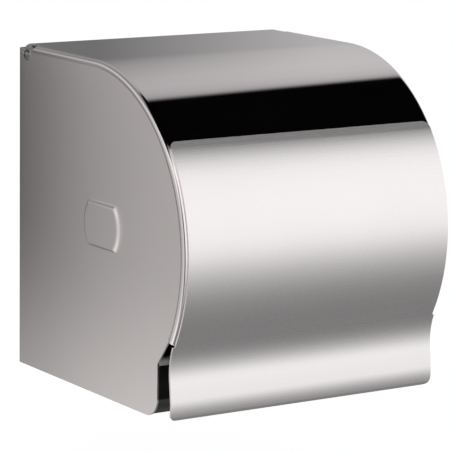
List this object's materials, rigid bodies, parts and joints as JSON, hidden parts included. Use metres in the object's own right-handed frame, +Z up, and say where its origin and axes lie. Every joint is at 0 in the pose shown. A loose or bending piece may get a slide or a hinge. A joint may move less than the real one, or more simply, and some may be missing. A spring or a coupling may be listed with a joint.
{
  "type": "toilet paper dispenser",
  "caption": "Wall-hung stainless toilet paper box with a round polished hood on rear hinges, a brushed front flap with a curled tear lip, and a sprung roller inside.",
  "frame": {"origin": "centre of the rectangle of wall screw holes, on the back face", "axes": "+X across the object, +Y into the wall, +Z up; the hood and its flap face -Y"},
  "size_m": [0.122, 0.1296, 0.1313],
  "materials": {
    "satin_steel": "satin stainless sheet",
    "mirror_steel": "mirror polished stainless sheet",
    "brushed_flap": "fine horizontal brushing",
    "rivet_steel": "polished rivet head",
    "white_nylon": "natural nylon",
    "seat_plastic": "moulded white plastic",
    "plug_plastic": "moulded white plastic",
    "tube_steel": "bright drawn tube",
    "spring_wire": "drawn spring wire"
  },
  "bodies": {
    "case": {"case": "satin_steel", "base_pan": "satin_steel", "hinge_rivets": "rivet_steel", "hinge_washer_left": "white_nylon", "hinge_washer_right": "white_nylon", "roller_seat_left": "seat_plastic", "roller_seat_right": "seat_plastic"},
    "hood": {"hood": "mirror_steel", "front_flap": "brushed_flap"},
    "roller": {"roller_outer_tube": "tube_steel", "roller_plug_left": "plug_plastic", "roller_spring": "spring_wire"},
    "roller_sprung_end": {"roller_inner_tube": "tube_steel", "roller_plug_right": "plug_plastic"}
  },
  "joints": [
    {"name": "hood_hinge", "type": "hinge", "parent": "case", "child": "hood", "pos_m": [0, -0.0072, 0.059], "axis": [-1, 0, 0], "range_deg": [0, 92]},
    {"name": "roller_spin", "type": "hinge", "parent": "case", "child": "roller", "pos_m": [0, -0.0675, 0.0003], "axis": [1, 0, 0], "continuous": true},
    {"name": "roller_compress", "type": "slide", "parent": "roller", "child": "roller_sprung_end", "axis": [-1, 0, 0], "range_m": [0, 0.01], "stiffness_N_per_m": 400, "springref_m": -0.01, "deforming": ["roller_spring"]}
  ]
}
